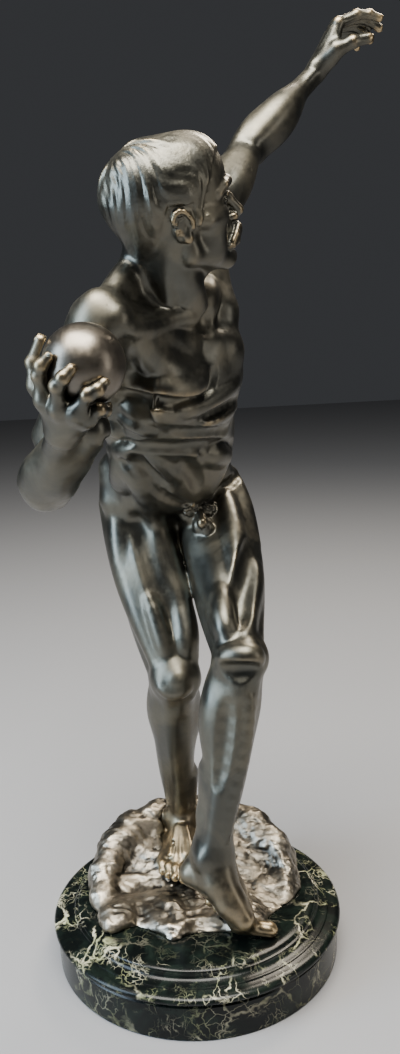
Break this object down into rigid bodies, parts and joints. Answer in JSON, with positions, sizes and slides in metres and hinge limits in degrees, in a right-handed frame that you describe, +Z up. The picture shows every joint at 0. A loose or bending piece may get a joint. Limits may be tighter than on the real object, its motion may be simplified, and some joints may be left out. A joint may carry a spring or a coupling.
{
  "type": "shot putter statuette",
  "caption": "Bronze statuette of a nude athlete putting the shot, standing on rocky bronze ground on a round moulded marble base.",
  "frame": {"origin": "centre of the marble base's flat underside", "axes": "+Z up, the figure's height; the side seen in the picture faces -Y; +X to the viewer's right"},
  "size_m": [0.3163, 0.3244, 0.7695],
  "materials": {
    "bronze_dark_patina": "dark brown-black patinated bronze, glossy, rubbed golden on the high spots",
    "bronze_shot": "smooth patinated bronze, a little browner and plainer than the figure",
    "marble_green_black": "polished green-black marble with cream and yellow-green veins"
  },
  "bodies": {
    "root": {"athlete_and_ground": "bronze_dark_patina", "shot": "bronze_shot", "marble_base": "marble_green_black"}
  },
  "joints": []
}
